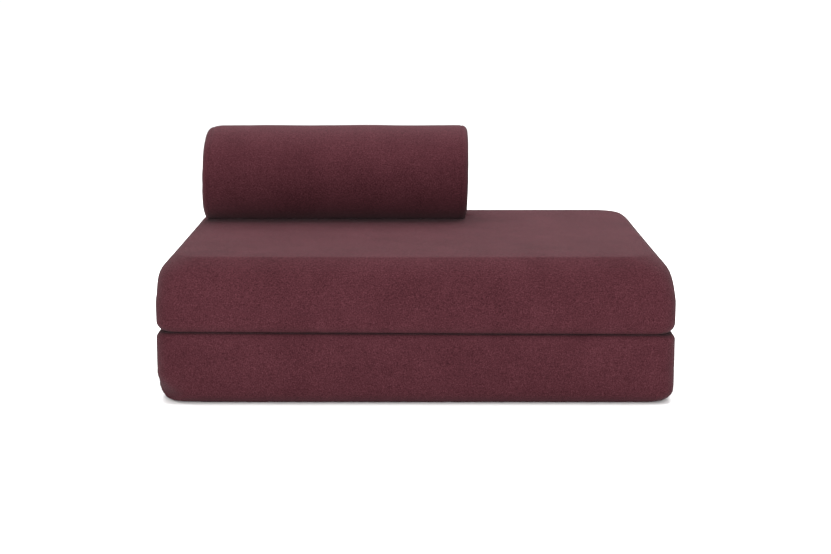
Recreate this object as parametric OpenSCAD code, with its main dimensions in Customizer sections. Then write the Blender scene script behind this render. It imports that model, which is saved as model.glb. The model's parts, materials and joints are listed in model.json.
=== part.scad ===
// Folding futon mattress: two stacked foam halves joined along the back, with a loose round bolster.
// X runs left to right, Y front to back, Z up. The origin is on the floor under the middle of the mattress.

/* [Mattress] */
// Width of one half, left to right
half_w = 1400; // [900:10:1600]
// Depth of one half, front to back
half_d = 1000; // [980:10:1100]
// Thickness of one half
half_t = 192; // [150:1:220]
// Radius of the four upright corners, seen from above
corner_r = 64; // [60:1:120]
// Radius of the long edges, seen from the end
edge_r = 45; // [24:1:50]
// Gap left between the folded halves
fold_gap = 1; // [0.5:0.5:4]

/* [Cover and filling] */
// Thickness of the woven cover
cover_t = 1.5; // [1:0.1:3]
// Room between the cover and the wadding, where the zip tape lies
ease = 2.5; // [1.2:0.1:4]
// Thickness of the fibre wadding
wadding_t = 12; // [6:1:16]

/* [Hinge strip] */
// Length of the fabric strip that joins the halves along the back
strip_l = 1140; // [400:10:1160]
// Height of one leaf of the strip
strip_h = 84; // [50:1:110]
// Thickness of one leaf
strip_t = 1.2; // [0.6:0.1:2]

/* [Bolster] */
// Diameter of the bolster
bolster_d = 291; // [220:1:320]
// Length of the bolster
bolster_l = 795; // [700:5:1000]
// Radius of its end rims
bolster_edge_r = 20; // [10:1:30]
// Left end of the bolster, measured in from the left side of the mattress
bolster_left = 62; // [0:1:200]
// Back of the bolster, measured in from the back of the mattress
bolster_back = 78; // [0:1:150]

/* [Zips] */
// Length of the closed chain on each half
half_zip_l = 640; // [300:10:710]
// Length of the closed chain on the bolster
bolster_zip_l = 620; // [300:10:640]
// Width of the chain
chain_w = 5.5; // [4:0.1:6]
// Width of the tape behind the chain
tape_w = 28; // [20:1:34]
// Length of the pull tab, from its pin
pull_l = 26; // [16:1:34]

/* [Hidden] */
$fn = 96;

// Filling
fit_gap = 0.5;
wadding_inset = cover_t + ease;
core_inset = wadding_inset + wadding_t + fit_gap;

// Bolster
bolster_r = bolster_d / 2;
rest_gap = 0.3;
bolster_x = -half_w / 2 + bolster_left + bolster_l / 2;
bolster_y = half_d / 2 - bolster_back - bolster_r;
bolster_z = 2 * half_t + fold_gap + rest_gap + bolster_r;
bolster_wadding_r = bolster_r - wadding_inset;
bolster_core_r = bolster_wadding_r - wadding_t - fit_gap;

// Zips, in their own frame: the chain runs along X, Z points out, and the cover's inside face is at 0
tape_t = 0.8;
tape_past = 12;
chain_h = 2.4;
groove_w = 0.8;
groove_h = 0.6;
stop_l = 3;
stop_over = 0.6;
window_w = 10.4;
window_past = 5;
slider_l = 16;
slider_w = 9.6;
slider_t = 1.4;
slider_z = 2.9;
flange_t = 1.2;
flange_low = 0.4;
pin_r = 0.9;
pin_gap = 0.3;
eye_r = 2;
eye_w = 4.2;
ear_t = 1.5;
ear_l = 5;
ear_gap = 0.3;
pull_t = 1.6;
pull_w = 7.5;
neck_l = 6;
pin_z = slider_z + slider_t + fit_gap + eye_r;

// Colours
burgundy = [0.35, 0.19, 0.22];
dark_burgundy = [0.24, 0.12, 0.15];
foam_cream = [0.90, 0.86, 0.70];
fibre_white = [0.93, 0.93, 0.90];
aged_brass = [0.55, 0.42, 0.28];

// A quarter disc in the first quadrant
module quarter(r) {
    intersection() {
        circle(r);
        square(r);
    }
}

// A section that runs flat from the axis, turns down through a quarter round and ends in an upright skirt.
// Its top is at 0 and its outside is at x = reach.
module lip(reach, round_r, t, skirt = 0) {
    flat = reach - round_r;
    translate([0, -t]) square([flat, t]);
    translate([flat, -round_r]) difference() {
        quarter(round_r);
        circle(round_r - t);
    }
    if (skirt > 0) {
        translate([reach - t, -round_r - skirt]) square([t, skirt]);
    }
}

// Carries a section round a rounded rectangle. The section's x is measured out from the corner centres.
module carry_round(w, d, r) {
    for (side = [0:3]) {
        run = side % 2 == 0 ? d - 2 * r : w - 2 * r;
        out = side % 2 == 0 ? w / 2 - r : d / 2 - r;
        rotate([0, 0, 90 * side]) translate([out, 0, 0]) {
            rotate([90, 0, 0]) linear_extrude(height = run, center = true) children();
            translate([0, run / 2, 0]) rotate_extrude(angle = 90) children();
        }
    }
}

// One shell of a half, from its top face down: a panel with rounded edges and an optional skirt
module shell_cap(inset, t, skirt = 0) {
    w = half_w - 2 * inset;
    d = half_d - 2 * inset;
    r = corner_r - inset;
    translate([0, 0, half_t - inset]) {
        carry_round(w, d, r) lip(r, edge_r - inset, t, skirt);
        translate([0, 0, -t / 2]) cube([w - 2 * r, d - 2 * r, t], center = true);
    }
}

// Turns a top shell over to make the matching underside
module turned_over() {
    translate([0, 0, half_t]) mirror([0, 0, 1]) children();
}

module upper_half() {
    translate([0, 0, half_t + fold_gap]) children();
}

// The zip of a half: on the left end, half way up
module on_left_end() {
    translate([-half_w / 2 + cover_t, 0, half_t / 2]) rotate([0, -90, 0]) rotate([0, 0, 90]) children();
}

// The zip of the bolster: along its back, half way up
module on_bolster_back() {
    translate([bolster_x, bolster_y + bolster_r - cover_t, bolster_z]) rotate([-90, 0, 0]) children();
}

// A cylinder along the bolster's axis
module bolster_round(r, l) {
    translate([bolster_x, bolster_y, bolster_z]) rotate([0, 90, 0]) cylinder(r = r, h = l, center = true);
}

module foam_core() {
    w = half_w - 2 * core_inset;
    d = half_d - 2 * core_inset;
    h = half_t - 2 * core_inset;
    r = corner_r - core_inset;
    e = edge_r - core_inset;
    color(foam_cream) translate([0, 0, core_inset]) {
        carry_round(w, d, r) {
            square([r - e, h]);
            translate([r - e, e]) square([e, h - 2 * e]);
            translate([r - e, h - e]) quarter(e);
            translate([r - e, e]) mirror([0, 1]) quarter(e);
        }
        translate([0, 0, h / 2]) cube([w - 2 * r, d - 2 * r, h], center = true);
    }
}

module wadding_top() {
    color(fibre_white) shell_cap(wadding_inset, wadding_t, half_t / 2 - edge_r);
}

module wadding_base() {
    turned_over() wadding_top();
}

module cover_top() {
    color(burgundy) shell_cap(0, cover_t);
}

module cover_base() {
    turned_over() cover_top();
}

// The upright band between the two panels, with the opening for the zip
module cover_band() {
    color(burgundy) difference() {
        carry_round(half_w, half_d, corner_r) {
            translate([corner_r - cover_t, edge_r]) square([cover_t, half_t - 2 * edge_r]);
        }
        on_left_end() zip_window(half_zip_l);
    }
}

module hinge_leaf_lower() {
    color(dark_burgundy) translate([-strip_l / 2, half_d / 2, half_t - strip_h]) {
        cube([strip_l, strip_t, strip_h]);
    }
}

module hinge_leaf_upper() {
    color(dark_burgundy) translate([-strip_l / 2, half_d / 2, half_t + fold_gap]) {
        cube([strip_l, strip_t, strip_h]);
    }
}

module zip_window(length) {
    cube([length + 2 * window_past, window_w, 4 * cover_t], center = true);
}

module zip_tape(length) {
    color(dark_burgundy) translate([0, 0, -tape_t / 2]) {
        cube([length + 2 * tape_past, tape_w, tape_t], center = true);
    }
}

// The closed chain, with a groove where its two rows meet and a stop at each end
module zip_chain(length) {
    color(dark_burgundy) {
        difference() {
            translate([0, 0, chain_h / 2]) cube([length, chain_w, chain_h], center = true);
            translate([0, 0, chain_h]) cube([length + 2, groove_w, 2 * groove_h], center = true);
        }
        for (end = [-1, 1]) {
            translate([end * (length + stop_l) / 2, 0, (chain_h + stop_over) / 2]) {
                cube([stop_l, chain_w + 2 * stop_over, chain_h + stop_over], center = true);
            }
        }
    }
}

// The slider's outer wing, flanges, ears and pin, at the end of the chain where the zip is closed
module zip_slider(length) {
    color(aged_brass) translate([slider_start(length), 0, 0]) {
        translate([0, 0, slider_z + slider_t / 2]) cube([slider_l, slider_w, slider_t], center = true);
        for (side = [-1, 1]) {
            translate([0, side * (slider_w - flange_t) / 2, (flange_low + slider_z) / 2]) {
                cube([slider_l, flange_t, slider_z - flange_low], center = true);
            }
            translate([0, side * (eye_w / 2 + ear_gap + ear_t / 2), 0]) {
                translate([0, 0, slider_z + (pin_z - slider_z) / 2]) {
                    cube([ear_l, ear_t, pin_z - slider_z], center = true);
                }
                translate([0, 0, pin_z]) rotate([90, 0, 0]) cylinder(d = ear_l, h = ear_t, center = true);
            }
        }
        translate([0, 0, pin_z]) rotate([90, 0, 0]) {
            cylinder(r = pin_r, h = eye_w + 2 * ear_gap + ear_t, center = true);
        }
    }
}

// The pull tab, lying along the chain, with the eye that turns on the slider's pin
module zip_pull(length) {
    color(aged_brass) translate([slider_start(length), 0, pin_z]) difference() {
        union() {
            rotate([90, 0, 0]) cylinder(r = eye_r, h = eye_w, center = true);
            translate([0, -eye_w / 2, -pull_t / 2]) cube([neck_l, eye_w, pull_t]);
            translate([neck_l, -pull_w / 2, -pull_t / 2]) cube([pull_l - neck_l - pull_w / 2, pull_w, pull_t]);
            translate([pull_l - pull_w / 2, 0, 0]) cylinder(d = pull_w, h = pull_t, center = true);
        }
        rotate([90, 0, 0]) cylinder(r = pin_r + pin_gap, h = 2 * eye_w, center = true);
        translate([pull_l - pull_w / 2, 0, 0]) cylinder(d = pull_w / 2, h = 2 * pull_t, center = true);
    }
}

function slider_start(length) = -length / 2 + slider_l / 2 + 1;

module bolster_foam_core() {
    color(foam_cream) bolster_round(bolster_core_r, bolster_l - 2 * wadding_inset);
}

module bolster_wadding() {
    color(fibre_white) difference() {
        bolster_round(bolster_wadding_r, bolster_l - 2 * bolster_edge_r);
        bolster_round(bolster_wadding_r - wadding_t, bolster_l);
    }
}

module bolster_cover_tube() {
    color(burgundy) difference() {
        bolster_round(bolster_r, bolster_l - 2 * bolster_edge_r);
        bolster_round(bolster_r - cover_t, bolster_l);
        on_bolster_back() zip_window(bolster_zip_l);
    }
}

module bolster_end(side) {
    color(burgundy) translate([bolster_x + side * bolster_l / 2, bolster_y, bolster_z]) {
        rotate([0, side * 90, 0]) rotate_extrude() lip(bolster_r, bolster_edge_r, cover_t);
    }
}

// The bolster's tape follows the round of the cover, just inside it
module bolster_zip_tape() {
    outer = bolster_r - cover_t - tape_t / 4;
    half_angle = asin(tape_w / 2 / outer);
    length = bolster_zip_l + 2 * tape_past;
    color(dark_burgundy) translate([bolster_x - length / 2, bolster_y, bolster_z]) rotate([0, 90, 0]) {
        rotate([0, 0, 90 - half_angle]) rotate_extrude(angle = 2 * half_angle) {
            translate([outer - tape_t, 0]) square([tape_t, length]);
        }
    }
}

foam_core();  // lower_foam_core
wadding_top();  // lower_wadding_top
wadding_base();  // lower_wadding_base
cover_top();  // lower_cover_top
cover_band();  // lower_cover_band
cover_base();  // lower_cover_base
on_left_end() zip_tape(half_zip_l);  // lower_zip_tape
on_left_end() zip_chain(half_zip_l);  // lower_zip_chain
on_left_end() zip_slider(half_zip_l);  // lower_zip_slider
on_left_end() zip_pull(half_zip_l);  // lower_zip_pull
hinge_leaf_lower();  // lower_hinge_leaf
upper_half() foam_core();  // upper_foam_core
upper_half() wadding_top();  // upper_wadding_top
upper_half() wadding_base();  // upper_wadding_base
upper_half() cover_top();  // upper_cover_top
upper_half() cover_band();  // upper_cover_band
upper_half() cover_base();  // upper_cover_base
upper_half() on_left_end() zip_tape(half_zip_l);  // upper_zip_tape
upper_half() on_left_end() zip_chain(half_zip_l);  // upper_zip_chain
upper_half() on_left_end() zip_slider(half_zip_l);  // upper_zip_slider
upper_half() on_left_end() zip_pull(half_zip_l);  // upper_zip_pull
hinge_leaf_upper();  // upper_hinge_leaf
bolster_foam_core();
bolster_wadding();
bolster_cover_tube();
bolster_end(-1);  // bolster_end_left
bolster_end(1);  // bolster_end_right
bolster_zip_tape();
on_bolster_back() zip_chain(bolster_zip_l);  // bolster_zip_chain
on_bolster_back() zip_slider(bolster_zip_l);  // bolster_zip_slider
on_bolster_back() zip_pull(bolster_zip_l);  // bolster_zip_pull
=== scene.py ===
import json
import math

import bpy
import numpy as np
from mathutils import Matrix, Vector, noise


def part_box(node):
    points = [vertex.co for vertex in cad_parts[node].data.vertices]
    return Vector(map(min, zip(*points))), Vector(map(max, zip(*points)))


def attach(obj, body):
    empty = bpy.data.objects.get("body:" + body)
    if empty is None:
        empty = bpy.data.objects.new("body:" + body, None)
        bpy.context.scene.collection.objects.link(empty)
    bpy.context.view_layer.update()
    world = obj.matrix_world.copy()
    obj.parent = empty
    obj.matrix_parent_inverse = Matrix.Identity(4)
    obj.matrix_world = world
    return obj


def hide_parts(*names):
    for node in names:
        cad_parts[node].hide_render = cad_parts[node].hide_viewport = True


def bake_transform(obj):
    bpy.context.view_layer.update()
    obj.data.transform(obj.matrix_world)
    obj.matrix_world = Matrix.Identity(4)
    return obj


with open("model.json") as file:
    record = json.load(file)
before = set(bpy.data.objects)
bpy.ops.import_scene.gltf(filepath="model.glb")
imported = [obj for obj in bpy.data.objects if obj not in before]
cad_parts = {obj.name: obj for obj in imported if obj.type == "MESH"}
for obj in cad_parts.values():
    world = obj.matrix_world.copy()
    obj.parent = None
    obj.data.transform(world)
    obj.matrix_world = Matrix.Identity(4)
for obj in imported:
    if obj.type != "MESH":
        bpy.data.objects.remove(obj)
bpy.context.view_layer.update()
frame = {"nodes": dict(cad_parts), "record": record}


# small helpers

def smoothStep(t):
    t = np.clip(t, 0.0, 1.0)
    return t * t * (3 - 2 * t)


def boxSize(node):
    low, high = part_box(node)
    return Vector(low), Vector(high)


def addMesh(name, points, faces, material, smooth=True):
    mesh = bpy.data.meshes.new(name)
    mesh.from_pydata([tuple(p) for p in points], [], [tuple(f) for f in faces])
    mesh.validate()
    mesh.update()
    if smooth:
        mesh.polygons.foreach_set("use_smooth", [True] * len(mesh.polygons))
    piece = bpy.data.objects.new(name, mesh)
    bpy.context.scene.collection.objects.link(piece)
    piece.data.materials.append(material)
    return piece


def readPoints(mesh):
    flat = np.empty(len(mesh.vertices) * 3)
    mesh.vertices.foreach_get("co", flat)
    return flat.reshape(-1, 3)


def readNormals(mesh):
    flat = np.empty(len(mesh.vertices) * 3)
    mesh.vertex_normals.foreach_get("vector", flat)
    return flat.reshape(-1, 3)


def writePoints(mesh, points):
    mesh.vertices.foreach_set("co", points.ravel())
    mesh.update()


def useModifier(piece, kind, **settings):
    modifier = piece.modifiers.new(kind.lower(), kind)
    for key, value in settings.items():
        setattr(modifier, key, value)
    graph = bpy.context.evaluated_depsgraph_get()
    made = bpy.data.meshes.new_from_object(piece.evaluated_get(graph))
    piece.modifiers.clear()
    old = piece.data
    piece.data = made
    bpy.data.meshes.remove(old)
    piece.data.name = piece.name
    return piece


def lumpsAt(points, scale, seed):
    # slow ups and downs in the cloth, the same on every run
    shift = Vector((seed * 3.1, seed * 1.7, seed * 0.9))
    return np.array([noise.noise(Vector(p) * scale + shift) for p in points])


# shader writing

class Link:
    # an output socket that can be used in sums
    def __init__(self, tree, socket):
        self.tree = tree
        self.socket = socket

    def maths(self, operation, first, second=None):
        made = self.tree.nodes.new("ShaderNodeMath")
        made.operation = operation
        for place, value in enumerate((first, second)):
            if value is not None:
                plug(self.tree, made.inputs[place], value)
        return Link(self.tree, made.outputs[0])

    def __add__(self, other):
        return self.maths("ADD", self, other)

    def __radd__(self, other):
        return self.maths("ADD", other, self)

    def __sub__(self, other):
        return self.maths("SUBTRACT", self, other)

    def __rsub__(self, other):
        return self.maths("SUBTRACT", other, self)

    def __mul__(self, other):
        return self.maths("MULTIPLY", self, other)

    def __rmul__(self, other):
        return self.maths("MULTIPLY", other, self)

    def wave(self):
        return self.maths("SINE", self)


def plug(tree, target, value):
    if isinstance(value, Link):
        tree.links.new(value.socket, target)
    else:
        target.default_value = value


class Finish:
    # one material, with its main shader and the nodes behind it
    def __init__(self, name, **constants):
        self.material = bpy.data.materials.new(name)
        self.material.use_nodes = True
        self.tree = self.material.node_tree
        self.shader = self.tree.nodes["Principled BSDF"]
        for socket, value in constants.items():
            self.shader.inputs[socket.replace("_", " ")].default_value = value

    def node(self, kind, settings, values, out=0):
        made = self.tree.nodes.new(kind)
        for key, value in settings.items():
            if key == "stops":
                ramp = made.color_ramp
                while len(ramp.elements) < len(value):
                    ramp.elements.new(0.5)
                for element, (place, colour) in zip(ramp.elements, value):
                    element.position = place
                    element.color = colour
            else:
                setattr(made, key, value)
        for key, value in values.items():
            plug(self.tree, made.inputs[key], value)
        return Link(self.tree, made.outputs[out])

    def spots(self):
        return self.node("ShaderNodeTexCoord", {}, {}, out=3)

    def stretched(self, spots, scale):
        return self.node("ShaderNodeMapping", {}, {"Vector": spots, "Scale": scale})

    def cloudy(self, spots, scale, detail=2.0, rough=0.5):
        values = {"Vector": spots, "Scale": scale, "Detail": detail, "Roughness": rough}
        return self.node("ShaderNodeTexNoise", {}, values)

    def woven(self, spots, pitch):
        # threads that cross at this pitch, whichever way the cloth faces
        turns = 2 * math.pi / pitch
        axes = [self.node("ShaderNodeSeparateXYZ", {}, {0: spots}, out=i) for i in range(3)]
        x, y, z = [(axis * turns).wave() for axis in axes]
        return x * y + y * z + z * x

    def mixed(self, factor, first, second):
        return self.node("ShaderNodeMix", {"data_type": "RGBA"}, {0: factor, 6: first, 7: second}, out=2)

    def attribute(self, name):
        return self.node("ShaderNodeAttribute", {"attribute_name": name}, {}, out=2)

    def bumped(self, height, strength, distance):
        values = {"Height": height, "Strength": strength, "Distance": distance}
        return self.node("ShaderNodeBump", {}, values)

    def feed(self, **links):
        for socket, value in links.items():
            plug(self.tree, self.shader.inputs[socket.replace("_", " ")], value)
        return self.material


# finishes

felt = {
    "dark": (0.0172, 0.0032, 0.0049, 1),
    "middle": (0.0438, 0.0110, 0.0149, 1),
    "light": (0.0760, 0.0228, 0.0297, 1),
    # seam: painted shade, mixed in where the seam attribute marks seams, zip channels and the line where the
    # halves meet
    "seam": (0.0080, 0.0018, 0.0026, 1),
    "tones": (0.39, 0.50, 0.61),  # where dark, middle and light sit in the blend
    "strandLong": 170.0,  # noise scale along a strand, and across it
    "strandAcross": 600.0,
    "fleckScale": 420.0,
    "cloudScale": 9.0,
    "blend": {"strands": 0.72, "flecks": 0.20, "clouds": 0.08},
    "raised": {"weave": 0.16, "strands": 1.0, "flecks": 0.35},
    "weavePitch": 0.0021,
    "nap": 0.0011,  # how far the bump stands up
    "sheen": 0.031,
    "sheenRough": 0.50,
    "sheenTint": (1.0, 0.96, 0.98, 1),
}


def feltWool(name, shade=1.0):
    made = Finish(
        name,
        Specular_IOR_Level=0.05,
        Sheen_Weight=felt["sheen"],
        Sheen_Roughness=felt["sheenRough"],
        Sheen_Tint=felt["sheenTint"],
    )
    spots = made.spots()
    along, across = felt["strandLong"], felt["strandAcross"]
    strands = []
    for long in range(3):
        scale = [across] * 3
        scale[long] = along
        strands.append(made.cloudy(made.stretched(spots, scale), 1.0, 2.0, 0.6))
    melange = (strands[0] + strands[1] + strands[2]) * (1 / 3)
    clouds = made.cloudy(spots, felt["cloudScale"], 3.0, 0.55)
    flecks = made.cloudy(spots, felt["fleckScale"], 1.0, 0.5)
    blend, raised = felt["blend"], felt["raised"]
    tone = melange * blend["strands"] + flecks * blend["flecks"] + clouds * blend["clouds"]
    stops = list(zip(felt["tones"], (felt["dark"], felt["middle"], felt["light"])))
    stops = [(place, tuple(c * shade for c in colour[:3]) + (1,)) for place, colour in stops]
    colour = made.node("ShaderNodeValToRGB", {"stops": stops}, {"Fac": tone})
    # painted shade: the felt darkens towards the seam colour where the seam attribute marks seams, zip
    # channels and the meeting line
    colour = made.mixed(made.attribute("seam"), colour, felt["seam"])
    weave = made.woven(spots, felt["weavePitch"])
    height = weave * raised["weave"] + melange * raised["strands"] + flecks * raised["flecks"]
    rough = 0.84 + melange * 0.14
    return made.feed(Base_Color=colour, Roughness=rough, Normal=made.bumped(height, 0.55, felt["nap"]))


def fibreFill(name):
    made = Finish(name, Sheen_Weight=0.3, Specular_IOR_Level=0.2)
    spots = made.spots()
    hairs = made.cloudy(made.stretched(spots, (420, 120, 260)), 1.0, 4.0, 0.7)
    stops = [(0.3, (0.62, 0.60, 0.55, 1)), (0.7, (0.90, 0.89, 0.85, 1))]
    colour = made.node("ShaderNodeValToRGB", {"stops": stops}, {"Fac": hairs})
    return made.feed(Base_Color=colour, Roughness=0.86 + hairs * 0.1, Normal=made.bumped(hairs, 0.8, 0.002))


def cellFoam(name):
    made = Finish(name, Specular_IOR_Level=0.25)
    spots = made.spots()
    cells = made.node("ShaderNodeTexVoronoi", {}, {"Vector": spots, "Scale": 520.0})
    drift = made.cloudy(spots, 14.0)
    stops = [(0.0, (0.42, 0.35, 0.19, 1)), (0.5, (0.80, 0.72, 0.50, 1))]
    colour = made.node("ShaderNodeValToRGB", {"stops": stops}, {"Fac": cells * 0.8 + drift * 0.3})
    return made.feed(Base_Color=colour, Roughness=0.8 + cells * 0.15, Normal=made.bumped(cells, 0.7, 0.0012))


def wovenTape(name):
    made = Finish(name, Sheen_Weight=0.15, Specular_IOR_Level=0.3)
    spots = made.spots()
    ribs = made.woven(spots, 0.0012)
    worn = made.cloudy(spots, 240.0)
    tone = ribs * 0.08 + worn
    stops = [(0.3, (0.032, 0.0080, 0.0115, 1)), (0.7, (0.066, 0.0190, 0.0260, 1))]
    colour = made.node("ShaderNodeValToRGB", {"stops": stops}, {"Fac": tone})
    return made.feed(Base_Color=colour, Roughness=0.72 + worn * 0.16, Normal=made.bumped(ribs, 0.6, 0.0004))


def zipNylon(name):
    made = Finish(name, Coat_Weight=0.1, Coat_Roughness=0.35)
    spots = made.spots()
    worn = made.cloudy(spots, 180.0, 3.0)
    stops = [(0.3, (0.030, 0.0085, 0.0120, 1)), (0.7, (0.085, 0.0300, 0.0370, 1))]
    colour = made.node("ShaderNodeValToRGB", {"stops": stops}, {"Fac": worn})
    return made.feed(Base_Color=colour, Roughness=0.34 + worn * 0.2, Normal=made.bumped(worn, 0.2, 0.0003))


def agedBrass(name):
    made = Finish(name, Metallic=1.0)
    spots = made.spots()
    tarnish = made.cloudy(spots, 260.0, 4.0, 0.6)
    scratches = made.cloudy(made.stretched(spots, (2600, 240, 900)), 1.0, 2.0)
    stops = [(0.32, (0.14, 0.095, 0.055, 1)), (0.62, (0.46, 0.34, 0.20, 1))]
    colour = made.node("ShaderNodeValToRGB", {"stops": stops}, {"Fac": tarnish})
    rough = 0.26 + tarnish * 0.3 + scratches * 0.08
    return made.feed(Base_Color=colour, Roughness=rough, Normal=made.bumped(scratches, 0.25, 0.0002))


def sewingThread(name):
    made = Finish(name, Sheen_Weight=0.2)
    spots = made.spots()
    twist = made.cloudy(spots, 1500.0)
    stops = [(0.3, (0.085, 0.022, 0.030, 1)), (0.7, (0.180, 0.066, 0.080, 1))]
    colour = made.node("ShaderNodeValToRGB", {"stops": stops}, {"Fac": twist})
    return made.feed(Base_Color=colour, Roughness=0.6 + twist * 0.2, Normal=made.bumped(twist, 0.3, 0.0003))


coverFelt = feltWool("coverFelt")
stripFelt = feltWool("stripFelt", 0.82)
wadding = fibreFill("fibreWadding")
foam = cellFoam("cellFoam")
tapeCloth = wovenTape("zipTapeCloth")
nylon = zipNylon("zipNylon")
brass = agedBrass("agedBrass")
thread = sewingThread("sewingThread")
print("finishes made")


# camera, light and floor

stage = {
    "cameraPlace": (-0.0009, -5.0778, 1.2045),
    "cameraPitch": 10.562,  # degrees down from level
    "lens": 75.90,
    "floorSize": 60.0,
    "skyStrength": 1.04,
    "lamps": {
        "softbox": {"place": (0.0, 0.9, 4.0), "tilt": -10, "size": 4.5, "power": 350.0},
        "frontFill": {"place": (0.0, -7.2, 1.7), "tilt": 80, "size": 3.0, "power": 375.0},
    },
}


def setStage():
    scene = bpy.context.scene
    scene.view_settings.view_transform = "Standard"
    camera = bpy.data.objects.new("camera", bpy.data.cameras.new("camera"))
    camera.data.sensor_width = 36.0
    camera.data.lens = stage["lens"]
    camera.data.clip_end = 200.0
    camera.location = stage["cameraPlace"]
    camera.rotation_euler = (math.radians(90 - stage["cameraPitch"]), 0, 0)
    scene.collection.objects.link(camera)
    scene.camera = camera

    world = bpy.data.worlds.new("paleRoom")
    scene.world = world
    world.use_nodes = True
    sky = world.node_tree.nodes["Background"]
    sky.inputs["Color"].default_value = (1.0, 1.0, 1.0, 1)
    sky.inputs["Strength"].default_value = stage["skyStrength"]

    for name, settings in stage["lamps"].items():
        lamp = bpy.data.objects.new(name, bpy.data.lights.new(name, "AREA"))
        lamp.data.shape = "SQUARE"
        lamp.data.size = settings["size"]
        lamp.data.energy = settings["power"]
        lamp.location = settings["place"]
        lamp.rotation_euler = (math.radians(settings["tilt"]), 0, 0)
        scene.collection.objects.link(lamp)

    reach = stage["floorSize"] / 2
    corners = [(-reach, -reach, 0), (reach, -reach, 0), (reach, reach, 0), (-reach, reach, 0)]
    paint = Finish("floorPaint", Roughness=0.9, Specular_IOR_Level=0.1)
    mottle = paint.cloudy(paint.spots(), 3.0)
    pale = paint.mixed(mottle, (0.98, 0.98, 0.98, 1), (0.99, 0.99, 0.99, 1))
    floor = addMesh("floor", corners, [(0, 1, 2, 3)], paint.feed(Base_Color=pale), smooth=False)


setStage()
print("stage set")


# sewn skins, for the halves and the bolster alike

clothFeel = {
    "quality": 5,
    "mass": 0.4,
    "tension_stiffness": 25,
    "compression_stiffness": 18,
    "shear_stiffness": 12,
    "bending_stiffness": 2.0,
}


def spread(low, high, step):
    # evenly spaced places from low to high, about a step apart
    count = max(1, round((high - low) / step))
    return list(np.linspace(low, high, count + 1))


def between(run, first, last, beyond, fade):
    # 1 from the first place to the last and a little beyond, with soft ends
    return smoothStep((run - first + beyond) / fade) * smoothStep((last + beyond - run) / fade)


def within(away, wide, fade):
    # 1 up to this far away, with a soft edge
    return 1 - smoothStep((away - wide) / fade)


def arcMarks(angles):
    # grid marks that roundedOut turns into even steps round a corner
    return [math.sqrt(2) * math.sin(a) for a in angles]


def roundedOut(u, v):
    # bends a square's grid into a disc's
    return u * math.sqrt(1 - v * v / 2), v * math.sqrt(1 - u * u / 2)


def rimOf(countX, countY):
    # once round the edge of a grid
    rim = [(i, 0) for i in range(countX)] + [(countX, j) for j in range(countY)]
    return rim + [(i, countY) for i in range(countX, 0, -1)] + [(0, j) for j in range(countY, 0, -1)]


def closedSkin(plan, first, rings, last):
    # joins a sheet, the rings round its rim and a second sheet
    countX, countY = plan["counts"]
    gridCount = (countX + 1) * (countY + 1)
    around = len(plan["rim"])
    points = first + [p for ring in rings for p in ring] + last
    lastStart = gridCount + around * len(rings)
    faces = []
    for i in range(countX):
        for j in range(countY):
            n = i * (countY + 1) + j
            square = [n, n + countY + 1, n + countY + 2, n + 1]
            faces.append(square)
            faces.append([lastStart + k for k in reversed(square)])
    loops = [list(plan["rim"])]
    loops += [[gridCount + k * around + n for n in range(around)] for k in range(len(rings))]
    loops.append([lastStart + n for n in plan["rim"]])
    for upper, lower in zip(loops, loops[1:]):
        for n in range(around):
            after = (n + 1) % around
            faces.append([upper[n], lower[n], lower[after], upper[after]])
    if isInsideOut(points, faces):
        faces = [list(reversed(f)) for f in faces]
    return points, faces


def isInsideOut(points, faces):
    # true if the volume inside comes out negative
    p, f = np.array(points), np.array(faces)
    a, b, c, d = (p[f[:, k]] for k in range(4))
    return float((a * np.cross(b, c) + a * np.cross(c, d)).sum()) < 0


def plump(piece, held, settings):
    # cloth pressure from inside, capped, with the held points kept back
    before = readPoints(piece.data)
    group = piece.vertex_groups.new(name="held")
    for weight in sorted(set(held[held > 0])):
        group.add([int(i) for i in np.nonzero(held == weight)[0]], float(weight), "REPLACE")
    cloth = piece.modifiers.new("cloth", "CLOTH")
    for key, value in clothFeel.items():
        setattr(cloth.settings, key, value)
    cloth.settings.use_pressure = True
    cloth.settings.uniform_pressure_force = settings["pressure"]
    cloth.settings.vertex_group_mass = "held"
    cloth.settings.effector_weights.gravity = 0
    cloth.collision_settings.use_collision = False
    cloth.point_cache.frame_start = 1
    cloth.point_cache.frame_end = settings["frames"]
    scene = bpy.context.scene
    for step in range(1, settings["frames"] + 1):
        scene.frame_set(step)
    graph = bpy.context.evaluated_depsgraph_get()
    after = readPoints(piece.evaluated_get(graph).data)
    piece.modifiers.clear()
    piece.vertex_groups.clear()
    scene.frame_set(1)
    moved = after - before
    length = np.linalg.norm(moved, axis=1, keepdims=True)
    moved *= np.minimum(1, settings["cap"] / np.maximum(length, 1e-9))
    print(piece.name, "swelled by up to", round(float(length.max()) * 1000, 1), "mm")
    writePoints(piece.data, before + moved * settings["keep"])


# the seam attribute holds how much painted shade darkens the felt at each point
def markPaintedShade(piece, values):
    shade = piece.data.attributes.get("seam") or piece.data.attributes.new("seam", "FLOAT", "POINT")
    shade.data.foreach_set("value", np.asarray(values, dtype=np.float32))


def readPaintedShade(piece):
    values = np.empty(len(piece.data.vertices), dtype=np.float32)
    piece.data.attributes["seam"].data.foreach_get("value", values)
    return values


# the bolster

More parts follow.
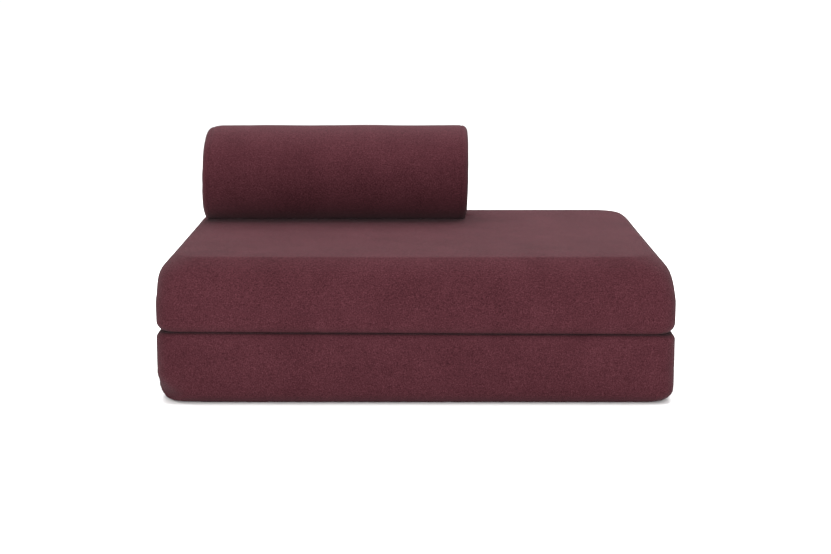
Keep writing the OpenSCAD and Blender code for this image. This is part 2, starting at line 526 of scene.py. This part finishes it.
roll = {
    "around": 20,  # squares across each end
    "step": 0.014,
    "edge": 0.020,  # round where the tube meets its ends
    "flat": 0.0040,  # height up to which its underside is pressed flat
    "raise": 0.0020,
    "dipBeyond": 0.06,  # how far past its ends it presses the half below
    "dipFade": 0.05,
    "leftOut": 0.0050,
    "leftLean": 0.0055,
    "leftSag": 0.0060,
    "rightLean": 0.0020,
    "leanReach": 0.25,
    "seamWide": 0.0030,
    "seamDepth": 0.0012,
    # how much painted shade the end seams and the zip channel get
    "seamShade": 0.18,
    "seamHeld": 0.6,
    "channel": {"beyond": 0.004, "fade": 0.005, "wide": 0.0044, "side": 0.0022, "deep": 0.0024},
    "channelShade": 0.3,
    "lumps": 0.0012,
    "pressure": 3.0,
    "cap": 0.008,
    "keep": 0.25,
    "frames": 20,
}


def makeBolster():
    tubeLow, tubeHigh = boxSize("bolster_cover_tube")
    leftLow, _ = boxSize("bolster_end_left")
    _, rightHigh = boxSize("bolster_end_right")
    zipLow, zipHigh = boxSize("bolster_zip_chain")
    centreY, centreZ = (tubeLow.y + tubeHigh.y) / 2, (tubeLow.z + tubeHigh.z) / 2
    radius = (tubeHigh.z - tubeLow.z) / 2
    count = roll["around"]
    marks = arcMarks(np.linspace(-math.pi / 4, math.pi / 4, count + 1))
    disc = [roundedOut(u, v) for u in marks for v in marks]
    plan = {"counts": (count, count), "rim": [i * (count + 1) + j for i, j in rimOf(count, count)]}

    def discAt(size, x):
        return [(x, centreY + size * a, centreZ + size * b) for a, b in disc]

    def hoopAt(size, x):
        whole = discAt(size, x)
        return [whole[n] for n in plan["rim"]]

    edge = roll["edge"]
    turns = [k * math.pi / 2 / 4 for k in range(1, 5)]
    rounds = [(radius - edge * (1 - math.sin(t)), edge * (1 - math.cos(t))) for t in turns]
    hoops = [hoopAt(size, leftLow.x + along) for size, along in rounds]
    for x in spread(leftLow.x + edge, rightHigh.x - edge, roll["step"])[1:-1]:
        hoops.append(hoopAt(radius, x))
    hoops += [hoopAt(size, rightHigh.x - along) for size, along in reversed(rounds)]
    leftDisc, rightDisc = (discAt(radius - edge, x) for x in (leftLow.x, rightHigh.x))
    points, faces = closedSkin(plan, leftDisc, hoops, rightDisc)
    piece = addMesh("bolster_cover", points, faces, coverFelt)
    spot = readPoints(piece.data)
    ends = np.minimum(spot[:, 0] - leftLow.x, rightHigh.x - spot[:, 0])
    plump(piece, roll["seamHeld"] * np.isclose(ends, edge, atol=1e-4), roll)
    useModifier(piece, "SUBSURF", levels=2, render_levels=2)

    spot, way = readPoints(piece.data), readNormals(piece.data)
    x, y, z = spot[:, 0], spot[:, 1], spot[:, 2]
    ends = np.minimum(x - leftLow.x, rightHigh.x - x)
    upright = 1 - np.clip(np.abs(way[:, 0]) * 1.5, 0, 1)
    lumps = lumpsAt(spot, 6.0, 3.0) + 0.4 * lumpsAt(spot, 19.0, 6.0)
    atBack = smoothStep((y - centreY - radius * 0.95) / 0.004) * upright
    push = roll["lumps"] * lumps * (1 - atBack)
    onTube = np.hypot(y - centreY, z - centreZ) > radius * 0.9
    seam = np.exp(-((ends - edge) / roll["seamWide"]) ** 2) * onTube
    push -= roll["seamDepth"] * seam
    spot = spot + way * push[:, None]
    # its ends aren't quite square to its length
    high = (spot[:, 2] - centreZ) / radius
    reach = roll["leanReach"]
    atLeft = smoothStep((leftLow.x + reach - x) / reach)
    atRight = smoothStep((x - rightHigh.x + reach) / reach)
    spot[:, 0] += atLeft * (roll["leftLean"] * high - roll["leftOut"]) + atRight * roll["rightLean"] * high
    nearLeft = smoothStep((leftLow.x + 0.05 - x) / 0.05)
    spot[:, 2] -= roll["leftSag"] * nearLeft * smoothStep((high - 0.4) / 0.6)
    # it settles a little where it lies
    rest = centreZ - radius
    spot[:, 2] += roll["raise"]
    spot[:, 2] = np.maximum(spot[:, 2], rest + roll["flat"])
    # the channel that the zip lies in, along the back
    lips = roll["channel"]
    channel = between(x, zipLow.x, zipHigh.x, lips["beyond"], lips["fade"]) * (y > centreY)
    channel = channel * within(np.abs(z - (zipLow.z + zipHigh.z) / 2), lips["wide"], lips["side"])
    bottom = centreY + radius - lips["deep"]
    spot[:, 1] = spot[:, 1] * (1 - channel) + np.minimum(spot[:, 1], bottom) * channel
    writePoints(piece.data, spot)
    # painted shade in the seam grooves at its ends and in the zip channel along the back
    markPaintedShade(piece, np.maximum(roll["seamShade"] * seam, roll["channelShade"] * channel))
    return piece


bolster = makeBolster()
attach(bolster, "bolster")
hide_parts("bolster_cover_tube", "bolster_end_left", "bolster_end_right")
print("bolster made")


# the two halves: cover, wadding and foam, all in one soft shape

pad = {
    "step": 0.0170,
    "innerStep": 0.034,  # for the wadding and the foam
    "cornerRound": 0.042,
    # an edge goes from its face through a tight round, of so many degrees, to the seam, and on
    # through a big one to the upright side; the upright corners have their own radius there
    "topEdge": {"big": 0.133, "tight": 0.018, "turn": 34, "corner": 0.078},
    "openEdge": {"big": 0.034, "tight": 0.002, "turn": 30, "corner": 0.040},
    "lowerOpenEdge": {"big": 0.018, "tight": 0.002, "turn": 25, "corner": 0.040},
    "floorEdge": {"big": 0.042, "tight": 0.016, "turn": 22, "corner": 0.044},
    "seamBeside": 0.0022,
    "seamDepth": 0.0006,
    # how much painted shade the seams, the line where the halves meet (within meetHigh of it) and the zip
    # channel get
    "seamShade": 0.10,
    "seamHeld": 0.6,
    "meetShade": 0.95,
    "meetHigh": 0.035,
    "wadInset": 0.004,
    "wadThick": 0.012,
    "coreInset": 0.0165,
    "lumps": 0.0011,
    "zipRows": (0.024, 0.012, 0.0064, 0.0050),  # rows of points above and below the zip
    "placket": {"beyond": 0.024, "fade": 0.020, "wide": 0.016, "side": 0.010, "proud": 0.0002},
    "channel": {"beyond": 0.004, "fade": 0.006, "wide": 0.0048, "side": 0.0018, "deep": 0.0019},
    "channelShade": 0.3,
    "lift": 0.0100,
    "liftShare": 0.35,  # of the thickness
    "underBolster": 0.0003,
    "leftOut": 0.0102,
    "rightOut": 0.0060,
    "outFrom": 0.35,  # from the middle, where the spreading sets in
    "outOver": 0.25,
    "outAtBack": 0.6,  # share by which it is less at the back, and more at the front
    "gapTilt": 0.0035,
    "gapFade": 0.05,
    "cornerLift": 0.0040,
    "cornerReach": 0.10,
    "cornerTuck": 0.080,
    "tuckHigh": 0.085,
    "pressure": 4.0,
    "cap": 0.010,
    "keep": 0.25,
    "frames": 20,
}


def roundedMarks(straight, radius, step):
    # grid marks from -2 to 2: the straight run is -1 to 1, and a corner is one unit at each end
    middle = [x / straight for x in spread(-straight, straight, step)]
    corner = arcMarks(spread(0, math.pi / 4, step / radius))[1:]
    return [-1 - c for c in reversed(corner)] + middle + [1 + c for c in corner]


def planOf(low, high, step):
    # a rounded rectangle seen from above, as a square grid that bends round the corners
    halfX, halfY = (high.x - low.x) / 2, (high.y - low.y) / 2
    corner = pad["topEdge"]["corner"]
    gridX = roundedMarks(halfX - corner, corner, step)
    gridY = roundedMarks(halfY - corner, corner, step)
    inner, ways = [], []
    for u in gridX:
        for v in gridY:
            signU, signV = math.copysign(1, u), math.copysign(1, v)
            outU, outV = roundedOut(max(0.0, abs(u) - 1), max(0.0, abs(v) - 1))
            inner.append((signU * min(abs(u), 1), signV * min(abs(v), 1)))
            ways.append((signU * outU, signV * outV))
    countX, countY = len(gridX) - 1, len(gridY) - 1
    return {
        "inner": np.array(inner),
        "ways": np.array(ways),
        "half": np.array([halfX, halfY]),
        "rim": [i * (countY + 1) + j for i, j in rimOf(countX, countY)],
        "counts": (countX, countY),
    }


def edgeDrop(edge):
    # how far below the face the edge's rounds end
    turn = math.radians(edge["turn"])
    return edge["tight"] * (1 - math.cos(turn)) + edge["big"] * math.cos(turn)


def cornerAt(depth, *nearby):
    # the radius of the upright corners at a height, on a layer that lies this deep
    radius = pad["cornerRound"]
    for edge, away in nearby:
        radius += (edge["corner"] - pad["cornerRound"]) * min(1, max(0, 1 - away / edgeDrop(edge)))
    return max(0.008, radius - depth)


def sheetAt(plan, inset, z, corner):
    # the plan's grid at a height, this far in from its box
    flat = plan["inner"] * (plan["half"] - inset - corner) + plan["ways"] * corner
    return [(x, y, z) for x, y in flat]


def ringAt(plan, inset, z, corner):
    sheet = sheetAt(plan, inset, z, corner)
    return [sheet[n] for n in plan["rim"]]


def tightTurns(edge):
    # the small round that ends in the seam: how far in and how far down, at four places
    turn = math.radians(edge["turn"])
    atSeam = edge["big"] * (1 - math.sin(turn))
    places = []
    for share in (0.0, 0.45, 0.78, 1.0):
        angle = turn * share
        into = atSeam + edge["tight"] * (math.sin(turn) - math.sin(angle))
        places.append((into, edge["tight"] * (1 - math.cos(angle))))
    return places


def bigTurns(edge, steps=7):
    # the large round between the seam and the upright face: how far down, at each place
    turn = math.radians(edge["turn"])
    first = turn + pad["seamBeside"] / edge["big"]
    start = edgeDrop(edge)
    return [start - edge["big"] * math.cos(a) for a in np.linspace(first, math.pi / 2, steps)]


def bigInset(edge, drop):
    # how far in the large round lies at a height
    reach = edgeDrop(edge) - drop
    return 0.0 if reach <= 0 else edge["big"] - math.sqrt(edge["big"] ** 2 - reach ** 2)


def insideEdge(edge, depth):
    # the same edge on a layer that lies deeper
    big, tight = max(0.004, edge["big"] - depth), max(0.001, edge["tight"] - depth)
    cosine = (edgeDrop(edge) - depth - tight) / (big - tight)
    turn = math.acos(min(1.0, max(0.0, cosine)))
    return {"big": big, "tight": tight, "turn": math.degrees(turn), "corner": edge["corner"]}


def sideRows(low, high, topEdge, baseEdge, extra):
    # heights of the rings up the side, from the top seam down to the base seam
    turned = [high.z - drop for drop in bigTurns(topEdge)] + [low.z + drop for drop in bigTurns(baseEdge)]
    clear = [z for z in turned if all(abs(z - other) > 0.006 for other in extra)]
    return sorted(clear + list(extra), reverse=True)


def blockSkin(low, high, depth, topEdge, baseEdge, step, extra=()):
    # a whole block, at a depth below the cover's surface; the last thing given back marks its seams
    plan = planOf(low, high, step)
    top, base = (insideEdge(edge, depth) if depth else edge for edge in (topEdge, baseEdge))
    groove = 0.0 if depth else pad["seamDepth"]
    inLow, inHigh = low + Vector((0, 0, depth)), high - Vector((0, 0, depth))
    rings, marks = [], []

    def seamAt(edge, place):
        turn = math.radians(edge["turn"])
        return place[0] + groove * math.sin(turn), place[1] + groove * math.cos(turn)

    def cornerOf(z):
        return cornerAt(depth, (topEdge, high.z - z), (baseEdge, z - low.z))

    def addRing(inset, z, marked):
        rings.append(ringAt(plan, depth + inset, z, cornerOf(z)))
        marks.append(marked)

    (topRim, *topTurns, topSeam), (baseRim, *baseTurns, baseSeam) = tightTurns(top), tightTurns(base)
    for inset, drop in topTurns:
        addRing(inset, inHigh.z - drop, False)
    inset, drop = seamAt(top, topSeam)
    addRing(inset, inHigh.z - drop, True)
    for z in sideRows(inLow, inHigh, top, base, extra):
        addRing(max(bigInset(top, inHigh.z - z), bigInset(base, z - inLow.z)), z, False)
    inset, drop = seamAt(base, baseSeam)
    addRing(inset, inLow.z + drop, True)
    for inset, drop in reversed(baseTurns):
        addRing(inset, inLow.z + drop, False)
    first = sheetAt(plan, depth + topRim[0], inHigh.z, cornerOf(inHigh.z))
    last = sheetAt(plan, depth + baseRim[0], inLow.z, cornerOf(inLow.z))
    points, faces = closedSkin(plan, first, rings, last)
    around = len(plan["rim"])
    seam = np.zeros(len(points))
    for k, marked in enumerate(marks):
        if marked:
            seam[len(first) + k * around:len(first) + (k + 1) * around] = 1
    return points, faces, seam


def bolsterDip(x, y, top):
    # how far the bolster's weight presses the top down at a place
    low, high = boxSize("bolster_cover_tube")
    middle, radius = (low.y + high.y) / 2, (high.z - low.z) / 2
    side = np.minimum(np.abs(y - middle), radius)
    under = roll["raise"] + radius - np.sqrt(radius ** 2 - side ** 2)
    under = low.z + np.maximum(under, roll["flat"])
    pressed = between(x, low.x, high.x, roll["dipBeyond"], roll["dipFade"])
    return pressed * np.maximum(0, top + pad["underBolster"] - under)


def settled(points, upper, cadLow, cadHigh):
    # how a half sits in use, given as a shift of any point in it, so that its layers shift together
    x, y, z = points[:, 0], points[:, 1], points[:, 2]
    halfX, halfY = (cadHigh.x - cadLow.x) / 2, (cadHigh.y - cadLow.y) / 2
    middle, thick = (cadLow.z + cadHigh.z) / 2, cadHigh.z - cadLow.z
    moved = points.copy()
    if upper:
        rise = smoothStep((z - middle) / (thick * pad["liftShare"]))
        moved[:, 2] += rise * (pad["lift"] - bolsterDip(x, y, cadHigh.z + pad["lift"]))
        # its top edges have spread a little, most at the front
        spreadBy = rise * (1 - pad["outAtBack"] * y / halfY)
        moved[:, 0] -= spreadBy * pad["leftOut"] * smoothStep((-x - pad["outFrom"]) / pad["outOver"])
        moved[:, 0] += spreadBy * pad["rightOut"] * smoothStep((x - pad["outFrom"]) / pad["outOver"])
    # the line where the halves meet runs a little lower towards the right, at the open front
    meetZ = cadLow.z if upper else cadHigh.z
    near = np.exp(-np.abs(z - meetZ) / pad["gapFade"]) * smoothStep((halfY - y) / halfY)
    moved[:, 2] -= near * pad["gapTilt"] * x / halfX
    if not upper:
        # the front left corner doesn't quite lie down, and is tucked in at a slant near the floor
        away = np.hypot(x + halfX, y + halfY) / pad["cornerReach"]
        moved[:, 2] += pad["cornerLift"] * np.exp(-away ** 2) * smoothStep((middle - z) / (thick * 0.4))
        tuck = np.maximum(0, pad["cornerTuck"] - (x + halfX) - (y + halfY)) / 2
        tuck *= smoothStep((cadLow.z + pad["tuckHigh"] - z) / pad["tuckHigh"])
        moved[:, 0] += tuck
        moved[:, 1] += tuck
    return moved


def halfEdges(upper):
    # the shapes of a half's top and base edges
    if upper:
        return pad["topEdge"], pad["openEdge"]
    return pad["lowerOpenEdge"], pad["floorEdge"]


def halfBox(who):
    low, _ = boxSize(who + "_cover_base")
    _, high = boxSize(who + "_cover_top")
    return low, high


def makeCover(who):
    low, high = halfBox(who)
    upper = who == "upper"
    zipLow, zipHigh = boxSize(who + "_zip_chain")
    zipZ = (zipLow.z + zipHigh.z) / 2
    zipRows = [zipZ + side * away for away in pad["zipRows"] for side in (1, -1)] + [zipZ]
    points, faces, seam = blockSkin(low, high, 0, *halfEdges(upper), pad["step"], zipRows)
    piece = addMesh(who + "_cover", points, faces, coverFelt)
    # the seam rings, whose painted shade is set at the end
    markPaintedShade(piece, seam)
    # the faces that rest on something stay still, and the seams hold the cloth back
    z = readPoints(piece.data)[:, 2]
    resting = np.isclose(z, low.z, atol=1e-4)
    if not upper:
        resting |= np.isclose(z, high.z, atol=1e-4)
    plump(piece, np.maximum(seam * pad["seamHeld"], resting), pad)
    useModifier(piece, "SUBSURF", levels=1, render_levels=1)

    spot, way = readPoints(piece.data), readNormals(piece.data)
    x, y, z = spot[:, 0], spot[:, 1], spot[:, 2]
    side = 1 - np.clip(np.abs(way[:, 2]) * 1.6, 0, 1)
    atBack = smoothStep((y - (high.y - 0.10)) / 0.06)
    onLeft = smoothStep((low.x + 0.06 - x) / 0.04)
    lumps = lumpsAt(spot, 7.0, 2.0 if upper else 5.0) + 0.5 * lumpsAt(spot, 17.0, 8.0)
    loose = np.clip(side + 0.15, 0, 1) if upper else side
    loose = loose * smoothStep(np.abs(z - (low.z if upper else high.z)) / 0.04)
    spot += way * (pad["lumps"] * lumps * (1 - atBack) * loose * (1 - onLeft))[:, None]
    # the back lies flat behind the hinge strip
    spot[:, 1] = np.minimum(spot[:, 1], high.y)
    # the placket that the zip is sewn into, flat on the left end, and the channel between its lips
    flat, lips = pad["placket"], pad["channel"]
    placket = between(y, zipLow.y, zipHigh.y, flat["beyond"], flat["fade"]) * (x < low.x + 0.03)
    placket = placket * within(np.abs(z - zipZ), flat["wide"], flat["side"])
    spot[:, 0] = spot[:, 0] * (1 - placket) + (low.x - flat["proud"]) * placket
    channel = between(y, zipLow.y, zipHigh.y, lips["beyond"], lips["fade"]) * (x < low.x + 0.02)
    channel = channel * within(np.abs(z - zipZ), lips["wide"], lips["side"])
    spot[:, 0] = spot[:, 0] * (1 - channel) + np.maximum(spot[:, 0], low.x + lips["deep"]) * channel
    writePoints(piece.data, settled(spot, upper, low, high))
    # where the halves meet, little light reaches the seam, so it gets strong painted shade there; the other
    # seams and the zip channel get a lighter painted shade
    meeting = np.abs(z - (low.z if upper else high.z)) < pad["meetHigh"]
    shade = readPaintedShade(piece) * np.where(meeting, pad["meetShade"], pad["seamShade"])
    markPaintedShade(piece, np.maximum(shade, pad["channelShade"] * channel))
    return piece


def makeWadding(who, top):
    # one batt: over the top or under the base of the foam, with a skirt to the middle of the sides
    low, high = halfBox(who)
    upper = who == "upper"
    plan = planOf(low, high, pad["innerStep"])
    edge = halfEdges(upper)[0 if top else 1]
    split = (low.z + high.z) / 2
    layers = []
    for depth in (pad["wadInset"], pad["wadInset"] + pad["wadThick"]):
        inner = insideEdge(edge, depth)
        face = high.z - depth
        rim, *turns = tightTurns(inner)
        drops = [drop for drop in bigTurns(inner) if face - drop > split + 0.004]
        turns += [(bigInset(inner, drop), drop) for drop in drops]
        turns.append((bigInset(inner, face - split), face - split - 0.0003))
        sheet = sheetAt(plan, depth + rim[0], face, cornerAt(depth, (edge, rim[1])))
        rings = []
        for inset, drop in turns:
            rings.append(ringAt(plan, depth + inset, face - drop, cornerAt(depth, (edge, drop))))
        layers.append((sheet, rings))
    (first, outer), (last, innerRings) = layers
    points, faces = closedSkin(plan, first, outer + innerRings[::-1], last)
    if not top:
        points = [(px, py, low.z + high.z - pz) for px, py, pz in points]
        faces = [list(reversed(f)) for f in faces]
    name = who + ("_top_wadding" if top else "_base_wadding")
    piece = addMesh(name, points, faces, wadding)
    useModifier(piece, "SUBSURF", levels=1, render_levels=1)
    spot, way = readPoints(piece.data), readNormals(piece.data)
    spot += way * (0.0009 * lumpsAt(spot, 30.0, 4.0) - 0.0006)[:, None]
    writePoints(piece.data, settled(spot, upper, low, high))
    return piece


def makeCore(who):
    low, high = halfBox(who)
    upper = who == "upper"
    rows = spread(low.z + 0.07, high.z - 0.07, 0.03)
    points, faces, _ = blockSkin(low, high, pad["coreInset"], *halfEdges(upper), pad["innerStep"], rows)
    piece = addMesh(who + "_foam_block", points, faces, foam)
    useModifier(piece, "SUBSURF", levels=1, render_levels=1)
    writePoints(piece.data, settled(readPoints(piece.data), upper, low, high))
    return piece


for who in ("lower", "upper"):
    cover = makeCover(who)
    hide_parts(who + "_cover_top", who + "_cover_band", who + "_cover_base")
    core = makeCore(who)
    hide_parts(who + "_foam_core")
    batts = [makeWadding(who, top) for top in (True, False)]
    for batt, node in zip(batts, ("_wadding_top", "_wadding_base")):
        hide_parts(who + node)
    for piece in (cover, core, *batts):
        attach(piece, who + "_half")
print("halves made")


# the hinge strip on the back

strip = {
    "across": 160,
    "up": 28,
    "hem": 0.006,
    "crease": 0.005,
    "stitchInset": 0.005,
    "stitchPitch": 0.0074,
    "stitchLong": 0.0048,
    "stitchThick": 0.0004,
}


def makeStrip():
    low, _ = boxSize("lower_hinge_leaf")
    _, high = boxSize("upper_hinge_leaf")
    xs = np.linspace(low.x, high.x, strip["across"] + 1)
    zs = np.linspace(low.z, high.z, strip["up"] + 1)
    meet = (low.z + high.z) / 2
    points, faces = [], []
    for front in (True, False):
        for z in zs:
            for x in xs:
                fromEdge = min(z - low.z, high.z - z, x - low.x, high.x - x)
                ripple = 0.00012 * math.sin(x * 61) * math.exp(-abs(z - meet) / 0.02)
                hem = 0.0 if fromEdge < strip["hem"] else 0.0002
                points.append((x, low.y + 0.0001 if front else high.y - 0.0002 - hem + ripple, z))
    wide, tall = len(xs), len(zs)

    def at(side, row, column):
        return side * wide * tall + row * wide + column

    for row in range(tall - 1):
        for column in range(wide - 1):
            square = [(row, column), (row, column + 1), (row + 1, column + 1), (row + 1, column)]
            faces.append([at(0, r, c) for r, c in square])
            faces.append([at(1, r, c) for r, c in reversed(square)])
    rim = rimOf(wide - 1, tall - 1)
    for n, (c, r) in enumerate(rim):
        nextC, nextR = rim[(n + 1) % len(rim)]
        faces.append([at(1, r, c), at(1, nextR, nextC), at(0, nextR, nextC), at(0, r, c)])
    return addMesh("hinge_strip", points, faces, stripFelt), low, high


def capsule(start, end, thick, out, sides=6):
    # one short stitch, bowed outwards from the cloth it is sewn into
    start, end, out = Vector(start), Vector(end), Vector(out)
    run = end - start
    across = run.normalized().cross(out)
    points, faces = [], []
    stations = ((0.0, 0.35, -0.7), (0.2, 1.0, 0.15), (0.8, 1.0, 0.15), (1.0, 0.35, -0.7))
    for along, size, lift in stations:
        centre = start + run * along + out * thick * lift
        for k in range(sides):
            turn = 2 * math.pi * k / sides
            points.append(centre + (across * math.cos(turn) + out * math.sin(turn)) * thick * size)
    for ring in range(len(stations) - 1):
        for k in range(sides):
            a, b = ring * sides + k, ring * sides + (k + 1) % sides
            faces.append((a, b, b + sides, a + sides))
    faces.append(tuple(reversed(range(sides))))
    faces.append(tuple(range(len(points) - sides, len(points))))
    return points, faces


def gather(name, shapes, material):
    points, faces = [], []
    for some, joined in shapes:
        start = len(points)
        points += some
        faces += [tuple(start + n for n in f) for f in joined]
    return addMesh(name, points, faces, material)


def stitchRow(name, low, high, y, z):
    count = int((high.x - low.x - 2 * strip["stitchInset"]) / strip["stitchPitch"])
    first = (low.x + high.x) / 2 - count * strip["stitchPitch"] / 2
    shapes = []
    for n in range(count):
        x = first + n * strip["stitchPitch"]
        ends = (x, y, z), (x + strip["stitchLong"], y, z)
        shapes.append(capsule(*ends, strip["stitchThick"], (0, 1, 0)))
    return gather(name, shapes, thread)


hinge, stripLow, stripHigh = makeStrip()
foldJoint = next(j for j in frame["record"]["behaviour"]["joints"] if j["name"] == "fold")
foldY, foldZ = foldJoint["pos_m"][1], foldJoint["pos_m"][2]
creaseEnds = (0, foldY, foldZ - strip["crease"]), (0, foldY, foldZ + strip["crease"])
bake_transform(hinge)
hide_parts("lower_hinge_leaf", "upper_hinge_leaf")
for who, z in (("lower", stripLow.z + strip["stitchInset"]), ("upper", stripHigh.z - strip["stitchInset"])):
    row = stitchRow(who + "_hinge_stitches", stripLow, stripHigh, stripHigh.y - 0.0002, z)
    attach(row, who + "_half")
print("hinge strip made")


# the zip chains

zipTeeth = {"pitch": 0.0026, "fill": 0.46, "wide": 0.0034, "stopLong": 0.003, "coreHigh": 0.0008}


def tooth(middle, size, along, out, across):
    # a rounded block: narrower at its foot and top than at its waist
    points, faces = [], []
    for lift, grow in ((-1.0, 0.72), (-0.35, 1.0), (0.45, 1.0), (1.0, 0.62)):
        for a, b in ((-1, -1), (1, -1), (1, 1), (-1, 1)):
            step = along * a * size[0] / 2 * grow + across * b * size[1] / 2 * grow
            points.append(middle + step + out * lift * size[2] / 2)
    for ring in range(3):
        for k in range(4):
            a, b = ring * 4 + k, ring * 4 + (k + 1) % 4
            faces.append((a, b, b + 4, a + 4))
    faces.append((3, 2, 1, 0))
    faces.append((12, 13, 14, 15))
    return points, faces


def makeChain(node, name, along, out):
    low, high = boxSize(node)
    along, out = Vector(along), Vector(out)
    across = out.cross(along)
    middle = (low + high) / 2
    size = high - low
    length, deep, wide = (abs(size.dot(v)) for v in (along, out, across))
    foot = middle - out * deep / 2
    run = length - 2 * zipTeeth["stopLong"]
    tall = deep - 0.0006
    shapes = []
    count = int(run / zipTeeth["pitch"] * 2)
    for n in range(count):
        place = -run / 2 + (n + 0.5) * run / count
        side = 1 if n % 2 else -1
        centre = foot + along * place + across * side * wide * 0.17 + out * tall * 0.55
        toothSize = (zipTeeth["pitch"] * zipTeeth["fill"], zipTeeth["wide"], tall * 0.9)
        shapes.append(tooth(centre, toothSize, along, out, across))
    cord = foot + out * zipTeeth["coreHigh"] / 2
    shapes.append(tooth(cord, (run, wide * 0.8, zipTeeth["coreHigh"]), along, out, across))
    for end in (-1, 1):
        centre = middle + along * end * (length - zipTeeth["stopLong"]) / 2
        shapes.append(tooth(centre, (zipTeeth["stopLong"], wide, deep), along, out, across))
    return gather(name, shapes, nylon)


for who, along, out in (
    ("lower", (0, 1, 0), (-1, 0, 0)),
    ("upper", (0, 1, 0), (-1, 0, 0)),
    ("bolster", (1, 0, 0), (0, 1, 0)),
):
    chain = makeChain(who + "_zip_chain", who + "_zip_teeth", along, out)
    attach(chain, "bolster" if who == "bolster" else who + "_half")
    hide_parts(who + "_zip_chain")
print("zips made")


# finishes of the pieces that stay as they are

nodeFinish = {
    "foam_core": foam,
    "wadding": wadding,
    "zip_tape": tapeCloth,
    "zip_slider": brass,
    "zip_pull": brass,
}
for node, piece in frame["nodes"].items():
    for ending, finish in nodeFinish.items():
        if ending in node:
            for place in piece.material_slots:
                place.material = finish
print("finishes given")
